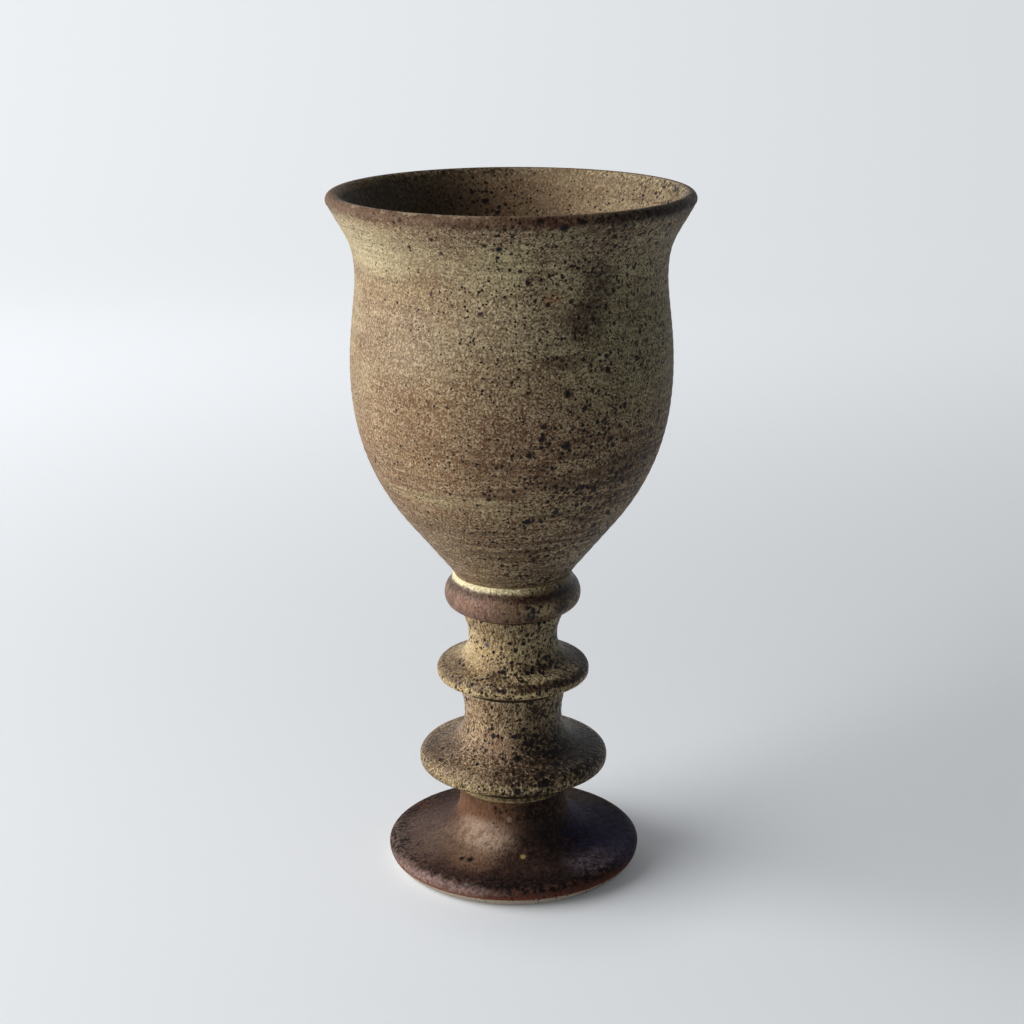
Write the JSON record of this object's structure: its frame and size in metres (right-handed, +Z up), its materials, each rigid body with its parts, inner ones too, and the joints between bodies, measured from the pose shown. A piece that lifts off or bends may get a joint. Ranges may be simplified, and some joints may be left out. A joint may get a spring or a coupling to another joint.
{
  "type": "pottery goblet",
  "caption": "Hand-thrown stoneware drinking goblet: deep cup with a rolled flaring lip on a hollow ringed stem and a spreading foot, in a speckled brown and khaki glaze.",
  "frame": {"origin": "centre of the base, on the plane that the foot stands on", "axes": "+Z up the goblet's axis towards the lip; +X to the right and -Y towards the viewer in the picture"},
  "size_m": [0.0866, 0.0866, 0.17],
  "materials": {
    "bowl_glaze": "satin speckled khaki glaze",
    "collar_glaze": "satin rose-brown glaze, mottled",
    "stem_glaze": "satin speckled cream and olive glaze",
    "foot_glaze": "satin chocolate glaze over bare buff clay at the base",
    "fired_slip": "matt fired slip"
  },
  "bodies": {
    "root": {"bowl": "bowl_glaze", "bowl_seam_slip": "fired_slip", "collar_ring": "collar_glaze", "collar_seam_slip": "fired_slip", "upper_stem": "stem_glaze", "stem_seam_slip": "fired_slip", "lower_stem": "stem_glaze", "foot_seam_slip": "fired_slip", "foot": "foot_glaze"}
  },
  "joints": []
}
